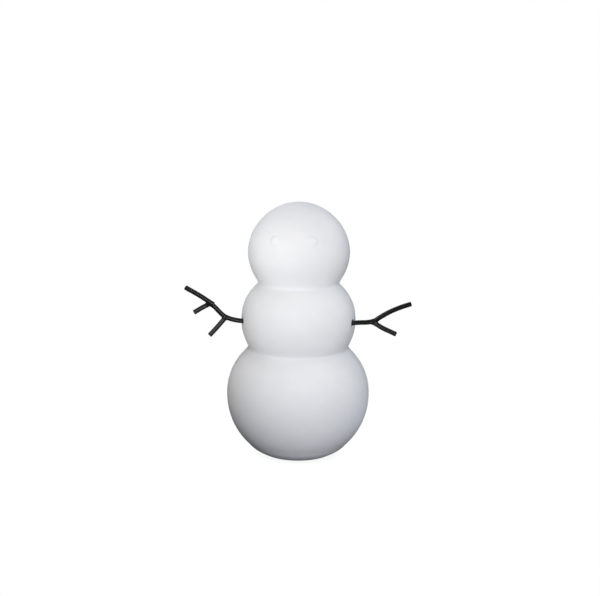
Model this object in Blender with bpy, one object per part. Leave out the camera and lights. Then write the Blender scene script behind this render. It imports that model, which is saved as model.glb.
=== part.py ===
"""Ceramic snowman figurine: one hollow cast body of three balls, and two arms of black wire.

Metres, +Z up. The origin is on the floor under the middle of the foot, and the front faces -Y.
Left and right are those of someone who faces the front, so the left arm is at -X.
"""

import math

import bmesh
import bpy
from mathutils import Matrix, Vector

MM = 0.001

# Each ball of the body: radius across, its heights above and below its widest ring, that ring's height,
# and its fullness, which is 2 for a true ellipse and more for a squarer one.
BASE_BALL = (51.6 * MM, 44.6 * MM, 50.4 * MM, 44.6 * MM, 2.07)
MIDDLE_BALL = (41.15 * MM, 34.6 * MM, 35.8 * MM, 98.75 * MM, 2.15)
HEAD_BALL = (36.45 * MM, 36.0 * MM, 35.4 * MM, 147.45 * MM, 1.94)

# How far the rounding fills each crease, and how far up and down from the crease it reaches.
WAIST_FILL = 1.5 * MM
NECK_FILL = 1.4 * MM
CREASE_REACH = 9.0 * MM

WALL = 4.0 * MM
VENT_RADIUS = 6.0 * MM

# How finely the body is turned: facets round it, and the arc of ball that one facet spans up and down.
BODY_SIDES = 60
OUTSIDE_STEP = math.radians(10.5)
INSIDE_STEP = math.radians(22.0)

# The eyes are low round bumps, turned a little to the left of the front.
EYE_TURN = math.radians(-6.5)
EYE_HALF_SPREAD = math.radians(22.2)
EYE_HEIGHT = 159.5 * MM
EYE_RADIUS = 4.6 * MM
EYE_HALF_THICKNESS = 2.0 * MM
EYE_RISE = 0.8 * MM

# The arms leave the middle ball at its widest, a little in front of its sides.
LEFT_ARM_TURN = math.radians(-75.0)
RIGHT_ARM_TURN = math.radians(69.5)
WIRE_RADIUS = 1.5 * MM
ARM_HOLE_RADIUS = 2.35 * MM
ARM_HOLE_HEIGHT = 99.05 * MM
HOLE_CUT_START = 30.0 * MM
HOLE_CUT_END = 50.0 * MM
WIRE_SMOOTHNESS = 4
WIRE_BEVEL_RESOLUTION = 3

# Points along each wire, in millimetres: reach out from the body's axis, and height.
LEFT_MAIN_WIRE = [(30.0, 98.2), (41.5, 99.1), (46.3, 99.95), (51.9, 101.75), (55.3, 103.75), (58.4, 106.8),
                  (62.4, 110.9), (64.9, 112.2), (68.3, 111.0), (75.9, 106.95)]
LEFT_LONG_TWIG = [(62.9, 112.4), (66.0, 114.6), (72.5, 119.1), (82.1, 125.0)]
LEFT_LOWER_TWIG = [(54.8, 100.85), (59.1, 96.1), (65.3, 89.6)]
RIGHT_MAIN_WIRE = [(30.0, 98.4), (41.5, 99.1), (46.9, 99.75), (52.5, 100.4), (57.0, 101.65), (61.3, 104.6),
                   (68.9, 109.35), (76.9, 113.2), (83.6, 115.85)]
RIGHT_LOWER_TWIG = [(58.6, 99.5), (63.85, 96.9), (69.2, 94.9), (73.3, 93.4)]
# The long twig lies across the front of the main wire that carries it.
LONG_TWIG_FORWARD = 3.1 * MM


def ball_radius(ball, height, inset):
    """The radius of a ball at a height, with the ball shrunk by inset all round."""
    radius, above, below, widest, fullness = ball
    across = abs(height - widest) / ((above if height > widest else below) - inset)
    return (radius - inset) * max(0.0, 1.0 - across**fullness) ** (1.0 / fullness)


def crease_height(lower, upper, inset):
    """The height between two balls' centres at which both have the same radius."""
    low = lower[3]
    high = upper[3]
    for _ in range(40):
        middle = (low + high) / 2
        if ball_radius(lower, middle, inset) > ball_radius(upper, middle, inset):
            low = middle
        else:
            high = middle
    return (low + high) / 2


def body_radius(height, inset):
    """The body's radius at a height: the wider ball's, eased where two balls meet."""
    radii = [ball_radius(ball, height, inset) for ball in (BASE_BALL, MIDDLE_BALL, HEAD_BALL)]
    widest = max(radii)
    creases = ((BASE_BALL, MIDDLE_BALL, WAIST_FILL), (MIDDLE_BALL, HEAD_BALL, NECK_FILL))
    for lower, upper, fill in creases:
        away = abs(height - crease_height(lower, upper, inset)) / CREASE_REACH
        if away < 1.0:
            ease = fill * (1.0 - away * away) ** 2
            below = ball_radius(lower, height, inset)
            above = ball_radius(upper, height, inset)
            widest = (below + above) / 2 + math.hypot((below - above) / 2, ease)
    return widest


def ball_heights(ball, inset, low, high, arc_step):
    """Heights from low to high, spaced evenly round the ball's curve."""
    _, above, below, widest, _ = ball
    start = math.asin(max(-1.0, (low - widest) / (below - inset)))
    end = math.asin(min(1.0, (high - widest) / (above - inset)))
    steps = math.ceil((end - start) / arc_step)
    angles = [start + (end - start) * step / steps for step in range(steps + 1)]
    return [widest + ((above if angle > 0.0 else below) - inset) * math.sin(angle) for angle in angles]


def stack_heights(inset, arc_step):
    """Heights from the foot to the crown of the whole stack, each crease among them once."""
    waist = crease_height(BASE_BALL, MIDDLE_BALL, inset)
    neck = crease_height(MIDDLE_BALL, HEAD_BALL, inset)
    crown = HEAD_BALL[3] + HEAD_BALL[1] - inset
    heights = ball_heights(BASE_BALL, inset, inset, waist, arc_step)
    heights += ball_heights(MIDDLE_BALL, inset, waist, neck, arc_step)[1:]
    heights += ball_heights(HEAD_BALL, inset, neck, crown, arc_step)[1:]
    return heights


def wall_face(inset, arc_step):
    """One face of the wall as (radius, height): out from the vent, up the side and in to the crown."""
    heights = stack_heights(inset, arc_step)
    side = [(body_radius(height, inset), height) for height in heights[:-1]]
    return [(VENT_RADIUS, inset)] + side + [(0.0, heights[-1])]


def principled(name, colour, roughness, metallic):
    material = bpy.data.materials.new(name)
    material.use_nodes = True
    shader = material.node_tree.nodes["Principled BSDF"]
    shader.inputs["Base Color"].default_value = (*colour, 1.0)
    shader.inputs["Roughness"].default_value = roughness
    shader.inputs["Metallic"].default_value = metallic
    material.diffuse_color = (*colour, 1.0)
    return material


def add_object(name, data, material=None):
    thing = bpy.data.objects.new(name, data)
    bpy.context.scene.collection.objects.link(thing)
    if material:
        data.materials.append(material)
    return thing


def mesh_from(name, shape):
    mesh = bpy.data.meshes.new(name)
    shape.to_mesh(mesh)
    shape.free()
    return mesh


def boolean(target, operation, cutter):
    """Cuts or joins with a hidden shape, which stays as a guide."""
    cutter.hide_render = True
    cutter.display_type = "WIRE"
    modifier = target.modifiers.new(cutter.name, "BOOLEAN")
    modifier.operation = operation
    modifier.object = cutter
    modifier.solver = "EXACT"


def body_shell():
    """The wall, turned in one full spin of its half outline."""
    shape = bmesh.new()
    faces = [wall_face(0.0, OUTSIDE_STEP), wall_face(WALL, INSIDE_STEP)]
    chains = [[shape.verts.new((radius, 0.0, height)) for radius, height in face] for face in faces]
    edges = [shape.edges.new(pair) for chain in chains for pair in zip(chain, chain[1:])]
    edges.append(shape.edges.new((chains[0][0], chains[1][0])))
    bmesh.ops.spin(shape, geom=chains[0] + chains[1] + edges, cent=(0, 0, 0), axis=(0, 0, 1),
                   angle=math.tau, steps=BODY_SIDES, use_merge=True)
    bmesh.ops.remove_doubles(shape, verts=shape.verts, dist=1e-6)
    bmesh.ops.recalc_face_normals(shape, faces=shape.faces)
    return mesh_from("ceramic_body", shape)


def front_direction(turn):
    """A level direction, turned from the front (-Y) towards the right (+X)."""
    return Vector((math.sin(turn), -math.cos(turn), 0.0))


def eye_bump(name, turn, material):
    """A flattened ball sunk in the head's wall, so that only its low crown stands out."""
    radius, above, _, widest, fullness = HEAD_BALL
    rise = EYE_HEIGHT - widest
    out = ball_radius(HEAD_BALL, EYE_HEIGHT, 0.0)
    spot = front_direction(turn) * out + Vector((0.0, 0.0, EYE_HEIGHT))
    facing = front_direction(turn) * ((out / radius) ** (fullness - 1.0) / radius)
    facing.z = (rise / above) ** (fullness - 1.0) / above
    facing.normalize()
    shape = bmesh.new()
    bmesh.ops.create_uvsphere(shape, u_segments=20, v_segments=14, radius=1.0)
    size = Matrix.Diagonal((EYE_RADIUS, EYE_RADIUS, EYE_HALF_THICKNESS, 1.0))
    shape.transform(size)
    bump = add_object(name, mesh_from(name, shape), material)
    bump.rotation_euler = facing.to_track_quat("Z", "Y").to_euler()
    bump.location = spot - facing * (EYE_HALF_THICKNESS - EYE_RISE)
    return bump


def arm_hole_cutter(name, turn):
    """A round bar through one side of the middle ball's wall."""
    shape = bmesh.new()
    length = HOLE_CUT_END - HOLE_CUT_START
    bmesh.ops.create_cone(shape, cap_ends=True, segments=20, radius1=ARM_HOLE_RADIUS,
                          radius2=ARM_HOLE_RADIUS, depth=length)
    bar = add_object(name, mesh_from(name, shape))
    outwards = front_direction(turn)
    bar.rotation_euler = outwards.to_track_quat("Z", "Y").to_euler()
    bar.location = outwards * (HOLE_CUT_START + length / 2) + Vector((0.0, 0.0, ARM_HOLE_HEIGHT))
    return bar


def wire(name, points, turn, material, forward=0.0):
    """A round wire through points given as (reach, height), standing in the plane at that turn."""
    outwards = front_direction(turn)
    towards_front = Vector((-outwards.y * math.copysign(1.0, -turn), -abs(outwards.x), 0.0))
    curve = bpy.data.curves.new(name, "CURVE")
    curve.dimensions = "3D"
    curve.bevel_depth = WIRE_RADIUS
    curve.bevel_resolution = WIRE_BEVEL_RESOLUTION
    curve.resolution_u = WIRE_SMOOTHNESS
    curve.use_fill_caps = True
    spline = curve.splines.new("BEZIER")
    spline.bezier_points.add(len(points) - 1)
    for knot, (reach, height) in zip(spline.bezier_points, points):
        knot.co = outwards * (reach * MM) + towards_front * forward + Vector((0.0, 0.0, height * MM))
        knot.handle_left_type = "AUTO"
        knot.handle_right_type = "AUTO"
    return add_object(name, curve, material)


for leftover in list(bpy.data.objects):
    bpy.data.objects.remove(leftover)

glazed_ceramic = principled("glazed_ceramic", (0.80, 0.80, 0.81), 0.55, 0.0)
black_wire = principled("black_wire", (0.02, 0.02, 0.021), 0.42, 0.0)

body = add_object("ceramic_body", body_shell(), glazed_ceramic)
for side, eye_offset in (("left", -EYE_HALF_SPREAD), ("right", EYE_HALF_SPREAD)):
    boolean(body, "UNION", eye_bump(side + "_eye_bump", EYE_TURN + eye_offset, glazed_ceramic))
for side, arm_turn in (("left", LEFT_ARM_TURN), ("right", RIGHT_ARM_TURN)):
    boolean(body, "DIFFERENCE", arm_hole_cutter(side + "_arm_hole_cutter", arm_turn))
body.data.shade_smooth()
body.data.set_sharp_from_angle(angle=math.radians(40.0))

wire("left_arm_main_wire", LEFT_MAIN_WIRE, LEFT_ARM_TURN, black_wire)
wire("left_arm_long_twig", LEFT_LONG_TWIG, LEFT_ARM_TURN, black_wire, LONG_TWIG_FORWARD)
wire("left_arm_lower_twig", LEFT_LOWER_TWIG, LEFT_ARM_TURN, black_wire)
wire("right_arm_main_wire", RIGHT_MAIN_WIRE, RIGHT_ARM_TURN, black_wire)
wire("right_arm_lower_twig", RIGHT_LOWER_TWIG, RIGHT_ARM_TURN, black_wire)
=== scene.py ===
import math
from collections import namedtuple

import bmesh
import bpy
import numpy as np
from mathutils import Matrix, Vector, noise


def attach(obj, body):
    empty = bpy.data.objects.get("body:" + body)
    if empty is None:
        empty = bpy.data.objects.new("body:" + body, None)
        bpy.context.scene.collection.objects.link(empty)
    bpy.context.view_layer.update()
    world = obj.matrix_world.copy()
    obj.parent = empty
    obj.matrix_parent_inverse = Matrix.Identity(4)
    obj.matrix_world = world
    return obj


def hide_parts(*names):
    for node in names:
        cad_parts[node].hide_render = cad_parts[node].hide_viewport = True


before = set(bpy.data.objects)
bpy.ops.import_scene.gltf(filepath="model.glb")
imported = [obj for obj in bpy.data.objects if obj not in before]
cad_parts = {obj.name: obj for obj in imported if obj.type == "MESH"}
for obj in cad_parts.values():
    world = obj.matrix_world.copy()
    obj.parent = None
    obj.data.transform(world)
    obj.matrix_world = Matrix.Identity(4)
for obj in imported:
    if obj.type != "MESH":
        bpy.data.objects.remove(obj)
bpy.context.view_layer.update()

# ---- Ceramic body ----------------------------------------------------------------------------------
# Three balls of slip-cast white clay in one hollow piece, with two low round eyes and a drilled hole in
# each side. It is coated in a matte white glaze, which softens the creases and is wiped off the foot.
MM = 0.001
# A ball reaches above and below its widest ring, which is at the height named widest. Its fullness is 2
# for a true ellipse and more for a squarer one.
Ball = namedtuple("Ball", "radius above below widest fullness")
BASE_BALL = Ball(radius=51.6 * MM, above=44.6 * MM, below=50.4 * MM, widest=44.6 * MM, fullness=2.07)
MIDDLE_BALL = Ball(radius=41.15 * MM, above=34.6 * MM, below=35.8 * MM, widest=98.75 * MM, fullness=2.15)
HEAD_BALL = Ball(radius=36.45 * MM, above=36.0 * MM, below=35.4 * MM, widest=147.45 * MM, fullness=1.94)
WAIST_FILL = 1.5 * MM
NECK_FILL = 1.4 * MM
CREASE_REACH = 9.0 * MM
FOOT_SWELL = 0.6 * MM
FOOT_SWELL_HEIGHT = 4.6 * MM  # where the swelling is widest; it dies out twice as high
WAIST_DIP = 0.8 * MM
DIP_REACH = 16.0 * MM
WALL = 4.0 * MM
VENT_RADIUS = 6.0 * MM
VENT_ROUNDING = 0.8 * MM
GLAZE_THICKNESS = 0.15 * MM
GLAZE_LINE = 0.9 * MM
GLAZE_SKIN = 1.5 * MM  # faces this near the outside are glazed, so the rounded rims of the holes are too
BODY_SIDES = 288
OUTSIDE_RING_GAP = 1.25 * MM
CREASE_RING_GAP = 0.35 * MM
INSIDE_RING_GAP = 4.0 * MM
EYE_RING_GAP = 0.5 * MM
EYE_HEIGHT = 159.5 * MM
EYE_REACH = 4.5 * MM
EYE_RING_REACH = 1.1 * EYE_REACH
MERGE_GAP = 0.001 * MM
SHARP_ANGLE = math.radians(35.0)
SLOPE_PROBE = 0.01 * MM
CREASE_HALVINGS = 40
CORNER_STEPS = 6


def ball_radius(ball, height, inset):
    """The radius of a ball at a height, with the ball shrunk by inset all round."""
    reach = ball.above if height > ball.widest else ball.below
    away = abs(height - ball.widest) / (reach - inset)
    return (ball.radius - inset) * max(0.0, 1.0 - away**ball.fullness) ** (1.0 / ball.fullness)


def crease_height(lower, upper, inset):
    """The height between two balls' centres at which both have the same radius."""
    low, high = lower.widest, upper.widest
    for _ in range(CREASE_HALVINGS):
        middle = (low + high) / 2
        if ball_radius(lower, middle, inset) > ball_radius(upper, middle, inset):
            low = middle
        else:
            high = middle
    return (low + high) / 2


def body_radius(height, inset):
    """The body's radius at a height: the wider ball's, eased at a crease and swollen just over the foot."""
    widest = max(ball_radius(ball, height, inset) for ball in (BASE_BALL, MIDDLE_BALL, HEAD_BALL))
    creases = ((BASE_BALL, MIDDLE_BALL, WAIST_FILL), (MIDDLE_BALL, HEAD_BALL, NECK_FILL))
    for lower, upper, fill in creases:
        away = abs(height - crease_height(lower, upper, inset)) / CREASE_REACH
        if away < 1.0:
            ease = fill * (1.0 - away * away) ** 2
            below = ball_radius(lower, height, inset)
            above = ball_radius(upper, height, inset)
            widest = (below + above) / 2 + math.hypot((below - above) / 2, ease)
    low = (height - inset - FOOT_SWELL_HEIGHT) / FOOT_SWELL_HEIGHT
    swell = FOOT_SWELL * (1.0 - low * low) ** 2 if abs(low) < 1.0 else 0.0
    return widest + swell


def glaze_depth(height):
    """How far the bare clay of the foot lies behind the glaze, which ends in a rounded lip."""
    up = min(1.0, max(0.0, (height - GLAZE_LINE) / GLAZE_THICKNESS))
    return GLAZE_THICKNESS * (1.0 - math.sqrt(1.0 - (1.0 - up) ** 2)) if up > 0.0 else GLAZE_THICKNESS


def side_outline(inset, wide_gap, crease_gap):
    """(radius, height) up one face of the wall, with the rings closer together near the creases."""
    creases = [crease_height(BASE_BALL, MIDDLE_BALL, inset), crease_height(MIDDLE_BALL, HEAD_BALL, inset)]
    crown = HEAD_BALL.widest + HEAD_BALL.above - inset
    height = inset
    outline = []
    while height < HEAD_BALL.widest or (height < crown - SLOPE_PROBE and outline[-1][0] > wide_gap):
        radius = body_radius(height, inset)
        outline.append((radius - (glaze_depth(height) if inset == 0.0 else 0.0), height))
        near = min(abs(height - crease) for crease in creases)
        gap = crease_gap + (wide_gap - crease_gap) * min(1.0, near / CREASE_REACH)
        if inset == 0.0 and height < GLAZE_LINE + 2 * GLAZE_THICKNESS:
            gap = GLAZE_THICKNESS / 2
        elif inset == 0.0 and abs(height - EYE_HEIGHT) < EYE_RING_REACH:
            gap = EYE_RING_GAP
        slope = (body_radius(height + SLOPE_PROBE, inset) - radius) / SLOPE_PROBE
        height += gap / math.hypot(1.0, slope)
    return outline + [(0.0, crown)]


def vent_corner(height, inwards):
    """A quarter round from the vent's wall to a face of the foot at that height."""
    centre = (VENT_RADIUS + VENT_ROUNDING, height + inwards * VENT_ROUNDING)
    corner = []
    for step in range(CORNER_STEPS + 1):
        turn = math.radians(90.0) * step / CORNER_STEPS
        corner.append((centre[0] - VENT_ROUNDING * math.cos(turn),
                       centre[1] - inwards * VENT_ROUNDING * math.sin(turn)))
    return corner


def front_direction(turn):
    """A level direction, turned from the front (-Y) towards the right (+X)."""
    return Vector((math.sin(turn), -math.cos(turn), 0.0))


def mesh_from(name, shape):
    """A mesh made from a bmesh, which is then freed."""
    mesh = bpy.data.meshes.new(name)
    shape.to_mesh(mesh)
    shape.free()
    return mesh


def add_object(name, data):
    """An object in the scene that holds this mesh, curve, lamp or camera."""
    thing = bpy.data.objects.new(name, data)
    bpy.context.scene.collection.objects.link(thing)
    return thing


def finished_mesh(thing):
    """The object's mesh with its modifiers applied."""
    depsgraph = bpy.context.evaluated_depsgraph_get()
    return bpy.data.meshes.new_from_object(thing.evaluated_get(depsgraph), depsgraph=depsgraph)


shape = bmesh.new()
faces_of_wall = (
    vent_corner(0.0, 1.0) + side_outline(0.0, OUTSIDE_RING_GAP, CREASE_RING_GAP),
    vent_corner(WALL, -1.0) + side_outline(WALL, INSIDE_RING_GAP, INSIDE_RING_GAP),
)
chains = [[shape.verts.new((radius, 0.0, height)) for radius, height in face] for face in faces_of_wall]
edges = [shape.edges.new(pair) for chain in chains for pair in zip(chain, chain[1:])]
edges.append(shape.edges.new((chains[0][0], chains[1][0])))
bmesh.ops.spin(shape, geom=chains[0] + chains[1] + edges, cent=(0, 0, 0), axis=(0, 0, 1),
               angle=math.tau, steps=BODY_SIDES, use_merge=True)
bmesh.ops.remove_doubles(shape, verts=shape.verts, dist=MERGE_GAP)
bmesh.ops.recalc_face_normals(shape, faces=shape.faces)

# The waist's crease dips a little at the front, where the middle ball was pressed down on the base.
waist = crease_height(BASE_BALL, MIDDLE_BALL, 0.0)
for vertex in shape.verts:
    away = abs(vertex.co.z - waist) / DIP_REACH
    if away < 1.0:
        vertex.co.z += WAIST_DIP * vertex.co.y / MIDDLE_BALL.radius * (1.0 - away * away) ** 2

# The eyes are low buttons under the glaze, set at a slant: each stands proud on its outer side, the left
# one on its upper side too, and the rest of it runs out softly into the head.
EYE_TURN = math.radians(-6.5)
EYE_HALF_SPREAD = math.radians(22.2)
EYE_RISE = 0.825 * MM
EYE_SLANT = 0.82
for eye_turn, proud_side in ((EYE_TURN - EYE_HALF_SPREAD, Vector((-0.7, 0.0, 0.7))),
                             (EYE_TURN + EYE_HALF_SPREAD, Vector((1.0, 0.0, 0.0)))):
    eye = front_direction(eye_turn) * ball_radius(HEAD_BALL, EYE_HEIGHT, 0.0) + Vector((0, 0, EYE_HEIGHT))
    facing = (eye - Vector((0, 0, HEAD_BALL.widest))).normalized()
    for vertex in shape.verts:
        away = (vertex.co - eye).length / EYE_REACH
        if away < 1.0:
            rise = EYE_RISE * (1.0 + EYE_SLANT * (vertex.co - eye).dot(proud_side) / EYE_REACH)
            vertex.co += facing * rise * (1.0 - away**4) ** 2
body = add_object("ceramic_snowman_body", mesh_from("ceramic_snowman_body", shape))

# Each arm hole is drilled straight in through the side, and the glaze rounds its outer rim.
LEFT_ARM_TURN = math.radians(-75.0)
RIGHT_ARM_TURN = math.radians(69.5)
ARM_HOLE_HEIGHT = 99.05 * MM
LEFT_HOLE_RADIUS = 1.95 * MM
RIGHT_HOLE_RADIUS = 2.5 * MM
HOLE_ROUNDING = 0.5 * MM
RIM_TURN = math.radians(85.0)
RIM_OVERLAP = 0.02 * MM
HOLE_CUT_START = 30.0 * MM
HOLE_CUT_END = 45.0 * MM
HOLE_SIDES = 48
cutters = []
for side, arm_turn, hole_radius in (("left", LEFT_ARM_TURN, LEFT_HOLE_RADIUS),
                                    ("right", RIGHT_ARM_TURN, RIGHT_HOLE_RADIUS)):
    rim_radius = hole_radius + HOLE_ROUNDING
    rim_reach = MIDDLE_BALL.radius - rim_radius**2 / (2 * MIDDLE_BALL.radius) + RIM_OVERLAP
    hole_outline = [(0.0, HOLE_CUT_START), (hole_radius, HOLE_CUT_START)]
    for step in range(CORNER_STEPS + 1):
        turn = RIM_TURN * step / CORNER_STEPS
        hole_outline.append((rim_radius - HOLE_ROUNDING * math.cos(turn),
                             rim_reach - HOLE_ROUNDING + HOLE_ROUNDING * math.sin(turn)))
    hole_outline += [(rim_radius, HOLE_CUT_END), (0.0, HOLE_CUT_END)]
    shape = bmesh.new()
    chain = [shape.verts.new((radius, 0.0, reach)) for radius, reach in hole_outline]
    edges = [shape.edges.new(pair) for pair in zip(chain, chain[1:])]
    bmesh.ops.spin(shape, geom=chain + edges, cent=(0, 0, 0), axis=(0, 0, 1), angle=math.tau,
                   steps=HOLE_SIDES, use_merge=True)
    bmesh.ops.remove_doubles(shape, verts=shape.verts, dist=MERGE_GAP)
    bmesh.ops.recalc_face_normals(shape, faces=shape.faces)
    place = front_direction(arm_turn).to_track_quat("Z", "Y").to_matrix().to_4x4()
    place.translation = (0.0, 0.0, ARM_HOLE_HEIGHT)
    shape.transform(place)
    cutter = add_object(side + "_drill", mesh_from(side + "_drill", shape))
    cut = body.modifiers.new(cutter.name, "BOOLEAN")
    cut.operation = "DIFFERENCE"
    cut.solver = "EXACT"
    cut.object = cutter
    cutters.append(cutter)
drilled = finished_mesh(body)
body.modifiers.clear()
body.data = drilled
for cutter in cutters:
    bpy.data.objects.remove(cutter)


def add_node(tree, kind, inputs=None, **settings):
    """A node with its settings, and its inputs given as values or as the sockets that feed them."""
    made = tree.nodes.new(kind)
    for name, value in settings.items():
        setattr(made, name, value)
    for name, value in (inputs or {}).items():
        if isinstance(value, bpy.types.NodeSocket):
            tree.links.new(value, made.inputs[name])
        else:
            made.inputs[name].default_value = value
    return made


# Fired and painted surfaces both vary in soft patches, in a fine grain and in a few small pits.
mottle = bpy.data.node_groups.new("fired_surface_mottle", "ShaderNodeTree")
for name in ("Patch Size", "Grain Size", "Pit Spacing", "Pit Share"):
    mottle.interface.new_socket(name=name, in_out="INPUT", socket_type="NodeSocketFloat")
for name in ("Patches", "Grain", "Pits"):
    mottle.interface.new_socket(name=name, in_out="OUTPUT", socket_type="NodeSocketFloat")
given = mottle.nodes.new("NodeGroupInput")
shown = mottle.nodes.new("NodeGroupOutput")
place = add_node(mottle, "ShaderNodeTexCoord").outputs["Object"]
for size, output, detail in (("Patch Size", "Patches", 3.0), ("Grain Size", "Grain", 2.0)):
    scale = add_node(mottle, "ShaderNodeMath", {0: 1.0, 1: given.outputs[size]}, operation="DIVIDE")
    pattern = add_node(mottle, "ShaderNodeTexNoise", {"Vector": place, "Scale": scale.outputs[0],
                                                      "Detail": detail, "Roughness": 0.55})
    mottle.links.new(pattern.outputs["Fac"], shown.inputs[output])
scale = add_node(mottle, "ShaderNodeMath", {0: 1.0, 1: given.outputs["Pit Spacing"]}, operation="DIVIDE")
cells = add_node(mottle, "ShaderNodeTexVoronoi", {"Vector": place, "Scale": scale.outputs[0]})
pit = add_node(mottle, "ShaderNodeMapRange", {"Value": cells.outputs["Distance"], "From Min": 0.0,
                                              "From Max": given.outputs["Pit Share"],
                                              "To Min": 1.0, "To Max": 0.0},
               interpolation_type="SMOOTHSTEP")
mottle.links.new(pit.outputs["Result"], shown.inputs["Pits"])


def new_material(name, constants):
    """A material with its tree and its shader, whose constant inputs are given by name."""
    material = bpy.data.materials.new(name)
    material.use_nodes = True
    shader = material.node_tree.nodes["Principled BSDF"]
    for socket, value in constants.items():
        shader.inputs[socket].default_value = value
    return material, material.node_tree, shader


def add_mottle(tree, patch, grain, pit_spacing, pit_share):
    """The mottle, with the sizes of its patches and grain, and its pits' spacing and share of that."""
    return add_node(tree, "ShaderNodeGroup", {"Patch Size": patch, "Grain Size": grain,
                                              "Pit Spacing": pit_spacing, "Pit Share": pit_share},
                    node_tree=mottle)


def blend_colour(tree, factor, first, second):
    """A colour that goes from the first to the second as the factor goes from 0 to 1."""
    made = add_node(tree, "ShaderNodeMix", data_type="RGBA")
    for index, value in ((0, factor), (6, first), (7, second)):
        if isinstance(value, bpy.types.NodeSocket):
            tree.links.new(value, made.inputs[index])
        else:
            made.inputs[index].default_value = value
    return made.outputs[2]


def spread(tree, value, low, high, start=0.3, end=0.7):
    """Turns a pattern that mostly lies between start and end into values from low to high."""
    return add_node(tree, "ShaderNodeMapRange", {"Value": value, "From Min": start, "From Max": end,
                                                 "To Min": low, "To Max": high}).outputs["Result"]


def soft_step(tree, value, start, end):
    """Goes softly from 0 to 1 as the value goes from start to end, which may be the lower of the two."""
    ends = {"From Min": min(start, end), "To Min": float(start > end),
            "From Max": max(start, end), "To Max": float(end > start)}
    return add_node(tree, "ShaderNodeMapRange", {"Value": value, **ends},
                    interpolation_type="SMOOTHSTEP").outputs["Result"]


def weighted(tree, terms):
    """The sum of value sockets, each times its weight."""
    total = None
    for value, weight in terms:
        inputs = {0: value, 1: weight}
        if total is not None:
            inputs[2] = total
        operation = "MULTIPLY_ADD" if total is not None else "MULTIPLY"
        total = add_node(tree, "ShaderNodeMath", inputs, operation=operation).outputs[0]
    return total


def add_relief(tree, shader, pattern, patches, grain, pits):
    """Fine relief from the mottle, whose patches, grain and pits stand this many millimetres proud."""
    height = weighted(tree, [(pattern.outputs["Patches"], patches), (pattern.outputs["Grain"], grain),
                             (pattern.outputs["Pits"], pits)])
    made = add_node(tree, "ShaderNodeBump", {"Height": height, "Distance": MM, "Strength": 1.0})
    tree.links.new(made.outputs["Normal"], shader.inputs["Normal"])


# The matte glaze is a cool white, even and a touch smoother where it pools in the creases. A band just over
# the waist, on the underside of the middle ball, is painted greyer: painted shade under the middle ball.
GLAZE_DARK_PATCH = (0.865, 0.868, 0.875, 1.0)
GLAZE_LIGHT_PATCH = (0.885, 0.887, 0.892, 1.0)
GLAZE_POOLED = (0.880, 0.883, 0.890, 1.0)
GLAZE_PAINTED_SHADE = (0.800, 0.803, 0.811, 1.0)
GLAZE_PIT = (0.70, 0.69, 0.66, 1.0)
GLAZE_ROUGHNESS = 0.55
POOL_REACH = 2.5 * MM
WAIST_SHADE_REACH = 11.0 * MM
WAIST_SHADE_START = waist - 0.9 * MM
WAIST_SHADE_FULL = waist + 0.7 * MM
glaze, tree, shader = new_material("matte_white_glaze", {"IOR": 1.5, "Specular IOR Level": 0.25})
pattern = add_mottle(tree, patch=9.0 * MM, grain=0.7 * MM, pit_spacing=7.0 * MM, pit_share=0.03)
height = add_node(tree, "ShaderNodeSeparateXYZ",
                  {0: add_node(tree, "ShaderNodeTexCoord").outputs["Object"]}).outputs["Z"]
pooled = None
for lower, upper in ((BASE_BALL, MIDDLE_BALL), (MIDDLE_BALL, HEAD_BALL)):
    away = add_node(tree, "ShaderNodeMath", {0: height, 1: crease_height(lower, upper, 0.0)},
                    operation="SUBTRACT").outputs[0]
    away = add_node(tree, "ShaderNodeMath", {0: away}, operation="ABSOLUTE").outputs[0]
    near = soft_step(tree, away, POOL_REACH, 0.0)
    pooled = near if pooled is None else add_node(tree, "ShaderNodeMath", {0: pooled, 1: near},
                                                  operation="MAXIMUM").outputs[0]
# painted shade: the glaze is painted greyer in a band just over the waist crease, under the middle ball
waist_shade = add_node(tree, "ShaderNodeMath", {0: soft_step(tree, height, waist + WAIST_SHADE_REACH, waist),
                                         1: soft_step(tree, height, WAIST_SHADE_START, WAIST_SHADE_FULL)},
                operation="MULTIPLY").outputs[0]
patches = spread(tree, pattern.outputs["Patches"], 0.0, 1.0)
colour = blend_colour(tree, patches, GLAZE_DARK_PATCH, GLAZE_LIGHT_PATCH)
colour = blend_colour(tree, pooled, colour, GLAZE_POOLED)
colour = blend_colour(tree, waist_shade, colour, GLAZE_PAINTED_SHADE)
colour = blend_colour(tree, pattern.outputs["Pits"], colour, GLAZE_PIT)
tree.links.new(colour, shader.inputs["Base Color"])
roughness = weighted(tree, [(pattern.outputs["Patches"], 0.10), (pattern.outputs["Grain"], 0.06),
                            (pooled, -0.05)])
roughness = add_node(tree, "ShaderNodeMath", {0: roughness, 1: GLAZE_ROUGHNESS}, operation="ADD").outputs[0]
tree.links.new(roughness, shader.inputs["Roughness"])
add_relief(tree, shader, pattern, patches=0.06, grain=0.012, pits=-0.08)

# The bare fired clay of the foot, the holes and the inside is a warmer, drier white.
CLAY_DARK_PATCH = (0.70, 0.66, 0.60, 1.0)
CLAY_LIGHT_PATCH = (0.78, 0.75, 0.70, 1.0)
CLAY_PIT = (0.45, 0.41, 0.36, 1.0)
clay, tree, shader = new_material("bare_fired_clay", {"IOR": 1.45})
pattern = add_mottle(tree, patch=5.0 * MM, grain=0.35 * MM, pit_spacing=3.0 * MM, pit_share=0.10)
patches = spread(tree, pattern.outputs["Patches"], 0.0, 1.0)
colour = blend_colour(tree, patches, CLAY_DARK_PATCH, CLAY_LIGHT_PATCH)
colour = blend_colour(tree, pattern.outputs["Pits"], colour, CLAY_PIT)
tree.links.new(colour, shader.inputs["Base Color"])
tree.links.new(spread(tree, pattern.outputs["Grain"], 0.78, 0.95), shader.inputs["Roughness"])
add_relief(tree, shader, pattern, patches=0.05, grain=0.06, pits=-0.15)

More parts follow.
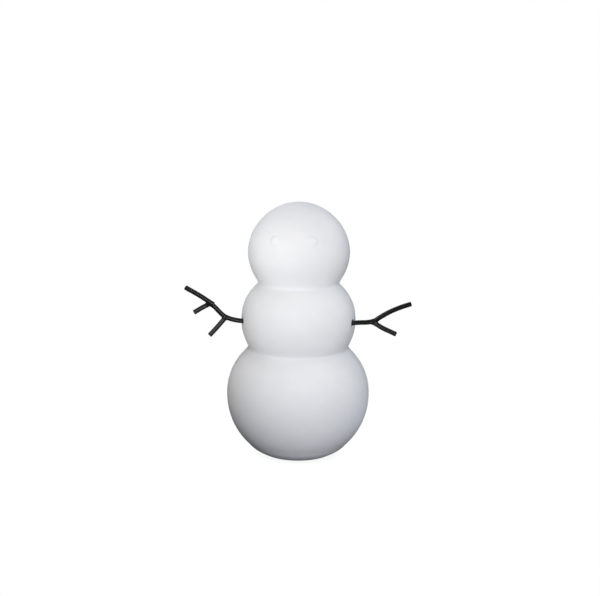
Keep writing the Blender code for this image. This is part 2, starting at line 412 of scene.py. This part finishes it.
body.data.materials.clear()
body.data.materials.append(glaze)
body.data.materials.append(clay)
for face in body.data.polygons:
    centre = face.center
    skin = body_radius(centre.z, 0.0) - GLAZE_SKIN
    face.material_index = 0 if centre.z > GLAZE_LINE and centre.xy.length > skin else 1
body.data.shade_smooth()
body.data.set_sharp_from_angle(angle=SHARP_ANGLE)
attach(body, "root")
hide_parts("ceramic_body")

# ---- Arms ------------------------------------------------------------------------------------------
# Each arm is a branch of 3 mm steel wire: short twigs are welded to a bent main wire, and the branch is
# dipped in satin black paint. The main wire's inner end is pushed through the hole in the middle ball.
WIRE_RADIUS = 1.5 * MM
PAINT_THICKNESS = 0.2 * MM
COATED_RADIUS = WIRE_RADIUS + PAINT_THICKNESS
WIRE_SIDES = 24
# Points along each wire, in millimetres: reach out from the body's axis, and height.
LEFT_MAIN_WIRE = [(30.0, 98.2), (41.5, 99.1), (46.3, 99.95), (51.9, 101.75), (55.3, 103.75), (58.4, 106.8),
                  (62.4, 110.9), (64.9, 112.2), (68.3, 111.0), (76.4, 106.7)]
LEFT_LONG_TWIG = [(62.9, 112.4), (66.0, 114.6), (72.5, 119.1), (82.9, 125.5)]
LEFT_LOWER_TWIG = [(53.7, 102.1), (59.1, 96.1), (65.3, 89.6)]
RIGHT_MAIN_WIRE = [(30.0, 98.4), (41.5, 99.1), (46.9, 99.75), (52.5, 100.4), (57.0, 101.65), (61.3, 104.6),
                   (68.9, 109.35), (76.9, 113.2), (83.6, 115.85)]
RIGHT_LOWER_TWIG = [(55.5, 101.1), (58.6, 99.5), (63.85, 96.9), (69.2, 94.9), (73.3, 93.4)]
LONG_TWIG_FORWARD = 3.1 * MM
# A weld is a lump of metal, and a black lump fills the mouth of the right hole as painted shade: reach,
# height, place forward of the main wire, and half sizes along the arm, across it and up.
LEFT_WELDS = [((54.6, 102.0), 0.0, (1.5, 1.3, 1.4)), ((65.9, 113.2), 1.6, (2.6, 1.5, 1.2))]
RIGHT_WELDS_AND_HOLE_SHADE = [((40.3, 99.05), 0.0, (0.9, 2.3, 2.3)), ((56.4, 100.9), 0.0, (2.6, 1.2, 1.6))]
WELD_BLEND = 0.9 * MM
CUT_ROUNDING = 0.35 * MM
FUSE_GRID = 0.2 * MM
SETTLING_STEPS = 4
HAMMERING = 0.02 * MM
HAMMERED_LENGTH = 3.5 * MM


def smooth_route(points):
    """Close points along a smooth curve through the given ones."""
    curve = bpy.data.curves.new("route", "CURVE")
    curve.dimensions = "3D"
    curve.resolution_u = 14
    spline = curve.splines.new("BEZIER")
    spline.bezier_points.add(len(points) - 1)
    for knot, point in zip(spline.bezier_points, points):
        knot.co = point
        knot.handle_left_type = "AUTO"
        knot.handle_right_type = "AUTO"
    guide = add_object("route", curve)
    line = finished_mesh(guide)
    route = [vertex.co.copy() for vertex in line.vertices]
    bpy.data.objects.remove(guide)
    return route


def sweep_wire(shape, route, across):
    """A round bar along a route that lies flat against the across direction."""
    frames = []
    for index, point in enumerate(route):
        along = (route[min(index + 1, len(route) - 1)] - route[max(index - 1, 0)]).normalized()
        frame_here = Matrix((across, along.cross(across), along)).transposed().to_4x4()
        frame_here.translation = point
        frames.append(frame_here)
    ring = bmesh.ops.create_circle(shape, cap_ends=True, segments=WIRE_SIDES, radius=COATED_RADIUS,
                                   matrix=frames[0])["verts"]
    edges = list({edge for vertex in ring for edge in vertex.link_edges})
    for here, there in zip(frames, frames[1:]):
        grown = bmesh.ops.extrude_edge_only(shape, edges=edges)["geom"]
        ring = [part for part in grown if isinstance(part, bmesh.types.BMVert)]
        bmesh.ops.transform(shape, matrix=there @ here.inverted(), verts=ring)
        edges = [part for part in grown if isinstance(part, bmesh.types.BMEdge)]
        edges = [edge for edge in edges if edge.verts[0] in ring and edge.verts[1] in ring]
    bmesh.ops.contextual_create(shape, geom=edges)


def eased_least(first, second, blend):
    """The lesser of two distances, eased where they nearly agree."""
    near = np.clip(0.5 + 0.5 * (second - first) / blend, 0.0, 1.0)
    return second + (first - second) * near - blend * near * (1.0 - near)


def outside_wire(points, route):
    """How far points lie outside a wire whose ends are cut square, with softened edges."""
    route = [np.array(point) for point in route]
    ends = []
    for end, before in ((route[0], route[1]), (route[-1], route[-2])):
        ends.append((end, (end - before) / np.linalg.norm(end - before)))
    stretched = [ends[0][0] + ends[0][1] * COATED_RADIUS, *route, ends[1][0] + ends[1][1] * COATED_RADIUS]
    nearest = np.full(len(points), np.inf)
    for start, stop in zip(stretched, stretched[1:]):
        along = stop - start
        share = np.clip((points - start) @ along / (along @ along), 0.0, 1.0)
        nearest = np.minimum(nearest, np.linalg.norm(points - start - share[:, None] * along, axis=1))
    outside = nearest - COATED_RADIUS
    for end, outwards in ends:
        outside = -eased_least(-outside, -((points - end) @ outwards), CUT_ROUNDING)
    return outside


def outside_lump(points, place):
    """How far points lie outside a weld lump or a lump of painted shade: a unit ball put in place by a
    matrix.
    """
    local = (points - np.array(place.translation)) @ np.array(place.to_3x3().inverted()).T
    return (np.linalg.norm(local, axis=1) - 1.0) * min(abs(size) for size in place.to_scale())


def welded_arm(name, turn, wires, welds_and_shade_lumps):
    """The arm's wires, weld lumps and any lump of painted shade as one skin: fused roughly, settled on the
    true shape, lightly dented.
    """
    outwards = front_direction(turn)
    towards_front = Vector((-outwards.y * math.copysign(1.0, -turn), -abs(outwards.x), 0.0))

    def spot(reach_and_height, forward):
        reach, height = reach_and_height
        return outwards * reach * MM + towards_front * forward + Vector((0.0, 0.0, height * MM))

    shape = bmesh.new()
    routes = [smooth_route([spot(point, forward) for point in points]) for points, forward in wires]
    for route in routes:
        sweep_wire(shape, route, towards_front)
    lumps = []
    for point, forward, half_sizes in welds_and_shade_lumps:
        lump = Matrix((outwards, towards_front, (0, 0, 1))).transposed().to_4x4()
        lump.translation = spot(point, forward * MM)
        lumps.append(lump @ Matrix.Diagonal((*[half * MM for half in half_sizes], 1.0)))
        bmesh.ops.create_icosphere(shape, subdivisions=3, radius=1.0, matrix=lumps[-1])
    bmesh.ops.recalc_face_normals(shape, faces=shape.faces)
    arm = add_object(name, mesh_from(name, shape))
    fuse = arm.modifiers.new("fuse", "REMESH")
    fuse.mode = "VOXEL"
    fuse.voxel_size = FUSE_GRID
    fused = finished_mesh(arm)
    arm.modifiers.clear()
    shape = bmesh.new()
    shape.from_mesh(fused)
    for _ in range(SETTLING_STEPS):
        bmesh.ops.smooth_vert(shape, verts=shape.verts, factor=0.5, use_axis_x=True, use_axis_y=True,
                              use_axis_z=True)
        shape.normal_update()
        points = np.array([vertex.co for vertex in shape.verts])
        outside = np.full(len(points), 1.0)
        for route in routes:
            outside = eased_least(outside, outside_wire(points, route), WELD_BLEND)
        for lump in lumps:
            outside = eased_least(outside, outside_lump(points, lump), WELD_BLEND)
        for vertex, distance in zip(shape.verts, outside):
            vertex.co -= vertex.normal * float(distance)
    shape.normal_update()
    for vertex in shape.verts:
        vertex.co += vertex.normal * noise.noise(vertex.co / HAMMERED_LENGTH) * HAMMERING
    arm.data = mesh_from(name, shape)
    arm.data.shade_smooth()
    return arm


# The paint is a deep black, a little duller and paler in patches.
PAINT_DARK_PATCH = (0.0045, 0.0045, 0.0048, 1.0)
PAINT_LIGHT_PATCH = (0.0065, 0.0065, 0.0068, 1.0)
paint, tree, shader = new_material("satin_black_paint", {"IOR": 1.5, "Specular IOR Level": 0.32})
pattern = add_mottle(tree, patch=4.0 * MM, grain=0.4 * MM, pit_spacing=2.5 * MM, pit_share=0.06)
patches = spread(tree, pattern.outputs["Patches"], 0.0, 1.0)
colour = blend_colour(tree, patches, PAINT_DARK_PATCH, PAINT_LIGHT_PATCH)
tree.links.new(colour, shader.inputs["Base Color"])
tree.links.new(spread(tree, pattern.outputs["Patches"], 0.24, 0.29), shader.inputs["Roughness"])
add_relief(tree, shader, pattern, patches=0.025, grain=0.003, pits=-0.012)

left_wires = [(LEFT_MAIN_WIRE, 0.0), (LEFT_LONG_TWIG, LONG_TWIG_FORWARD), (LEFT_LOWER_TWIG, 0.0)]
left_arm = welded_arm("left_wire_arm", LEFT_ARM_TURN, left_wires, LEFT_WELDS)
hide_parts("left_arm_main_wire", "left_arm_long_twig", "left_arm_lower_twig")
right_wires = [(RIGHT_MAIN_WIRE, 0.0), (RIGHT_LOWER_TWIG, 0.0)]
# The right arm's lumps include a black lump of painted shade in the mouth of its hole.
right_arm = welded_arm("right_wire_arm", RIGHT_ARM_TURN, right_wires, RIGHT_WELDS_AND_HOLE_SHADE)
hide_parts("right_arm_main_wire", "right_arm_lower_twig")
for arm in (left_arm, right_arm):
    arm.data.materials.append(paint)
    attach(arm, "root")

# ---- Floor -----------------------------------------------------------------------------------------
# A plain white table top, seen as evenly white, with a trace of painted shade at the foot. It throws little
# light upwards, as a table does that is dark outside the lens's view.
FLOOR_HALF = 4.0
SHADE_REACH = 4.0 * MM
FLOOR_SEEN = (1.0, 1.0, 1.0, 1.0)
FLOOR_SHADE = (0.90, 0.905, 0.91, 1.0)
FLOOR_DULL = (0.1, 0.1, 0.1, 1.0)
shape = bmesh.new()
bmesh.ops.create_grid(shape, x_segments=2, y_segments=2, size=FLOOR_HALF)
floor = add_object("floor", mesh_from("floor", shape))
material = bpy.data.materials.new("floor_white")
material.use_nodes = True
tree = material.node_tree
tree.nodes.remove(tree.nodes["Principled BSDF"])
seen = add_node(tree, "ShaderNodeLightPath").outputs["Is Camera Ray"]
dull = add_node(tree, "ShaderNodeBsdfDiffuse", {"Color": FLOOR_DULL})
# painted shade: the floor's seen colour darkens towards FLOOR_SHADE where the foot closes it in
openness = add_node(tree, "ShaderNodeAmbientOcclusion", {"Distance": SHADE_REACH}, samples=16).outputs["AO"]
white = blend_colour(tree, openness, FLOOR_SHADE, FLOOR_SEEN)
bright = add_node(tree, "ShaderNodeEmission", {"Color": white})
mixed = add_node(tree, "ShaderNodeMixShader", {0: seen, 1: dull.outputs[0], 2: bright.outputs[0]})
tree.links.new(mixed.outputs[0], tree.nodes["Material Output"].inputs["Surface"])
floor.data.materials.append(material)

# ---- Light -----------------------------------------------------------------------------------------
# A studio table: a big wall of light behind the lens, soft boxes overhead and high behind at both sides,
# small ones near the head, and panels lying at the table's edge. The lens sees the dark room as white.
SOFT_BOXES = [  # name, position, what it faces, width, watts, colour
    ("back_left_box", (-0.21, 0.37, 0.52), (0, 0, 0.1), 0.40, 1.12, (0.89, 0.88, 1.00)),
    ("high_right_box", (0.40, 0.145, 0.52), (0, 0, 0.1), 0.40, 1.14, (0.81, 0.90, 1.00)),
    ("top_box", (0, -0.02, 0.7), (0, 0, 0.1), 0.40, 0.87, (1.00, 0.97, 0.95)),
    ("low_right_box", (0.21, -0.45, 0.06), (0, 0, 0.06), 0.12, 0.55, (0.89, 0.93, 1.00)),
    ("left_low_panel", (-0.2, 0, 0.006), (-0.2, 0, 1), 0.12, 0.087, (1.00, 0.92, 0.75)),
    ("left_table_panel", (-0.23, -0.275, 0.006), (-0.23, -0.275, 1), 0.25, 0.57, (1.00, 0.98, 1.00)),
    ("front_wall", (0, -1.4, 0.35), (0, 0, 0.1), 1.00, 10.7, (0.88, 0.91, 1.00)),
    ("near_box", (0, -0.25, 0.22), (0, 0, 0.16), 0.10, 0.069, (1.00, 0.84, 0.54)),
    ("near_right_box", (0.106, -0.106, 0.15), (0, 0, 0.15), 0.06, 0.0195, (1.00, 0.96, 0.94)),
    ("near_left_box", (-0.13, -0.075, 0.19), (0, 0, 0.19), 0.06, 0.06, (0.96, 1.00, 1.00)),
    ("foot_panel", (0.11, -0.01, 0.004), (0.11, -0.01, 1), 0.08, 0.012, (0.87, 0.89, 1.00)),
]
ROOM_SEEN = (1.0, 1.0, 1.0, 1.0)
for name, position, target, width, watts, colour in SOFT_BOXES:
    lamp = bpy.data.lights.new(name, "AREA")
    lamp.shape = "SQUARE"
    lamp.size = width
    lamp.energy = watts
    lamp.color = colour
    box = add_object(name, lamp)
    box.location = position
    box.rotation_euler = (Vector(position) - Vector(target)).to_track_quat("Z", "Y").to_euler()
    box.visible_camera = False
world = bpy.data.worlds.new("room")
bpy.context.scene.world = world
world.use_nodes = True
tree = world.node_tree
seen = add_node(tree, "ShaderNodeLightPath").outputs["Is Camera Ray"]
tree.links.new(seen, tree.nodes["Background"].inputs["Strength"])
tree.nodes["Background"].inputs["Color"].default_value = ROOM_SEEN
bpy.context.scene.view_settings.view_transform = "Standard"

# ---- Camera ----------------------------------------------------------------------------------------
# A long lens close to the figurine, a little above its head and level but for a slight lean.
LOOK_AT = Vector((0.98, 0.0, 114.05)) * MM
CAMERA_DISTANCE = 900.0 * MM
CAMERA_ELEVATION = math.radians(10.48)
CAMERA_LEAN = math.radians(0.455)
LENS = 75.0
SENSOR = 36.0
CLIP_START = 10.0 * MM
view = Vector((0.0, math.cos(CAMERA_ELEVATION), -math.sin(CAMERA_ELEVATION)))
right = Vector((1.0, 0.0, 0.0))
upwards = right.cross(view)
lens = bpy.data.cameras.new("camera")
lens.lens = LENS
lens.sensor_width = SENSOR
lens.clip_start = CLIP_START
camera = add_object("camera", lens)
lean = Matrix.Rotation(-CAMERA_LEAN, 3, view)
camera.matrix_world = Matrix((lean @ right, lean @ upwards, -view)).transposed().to_4x4()
camera.location = LOOK_AT - view * CAMERA_DISTANCE
bpy.context.scene.camera = camera
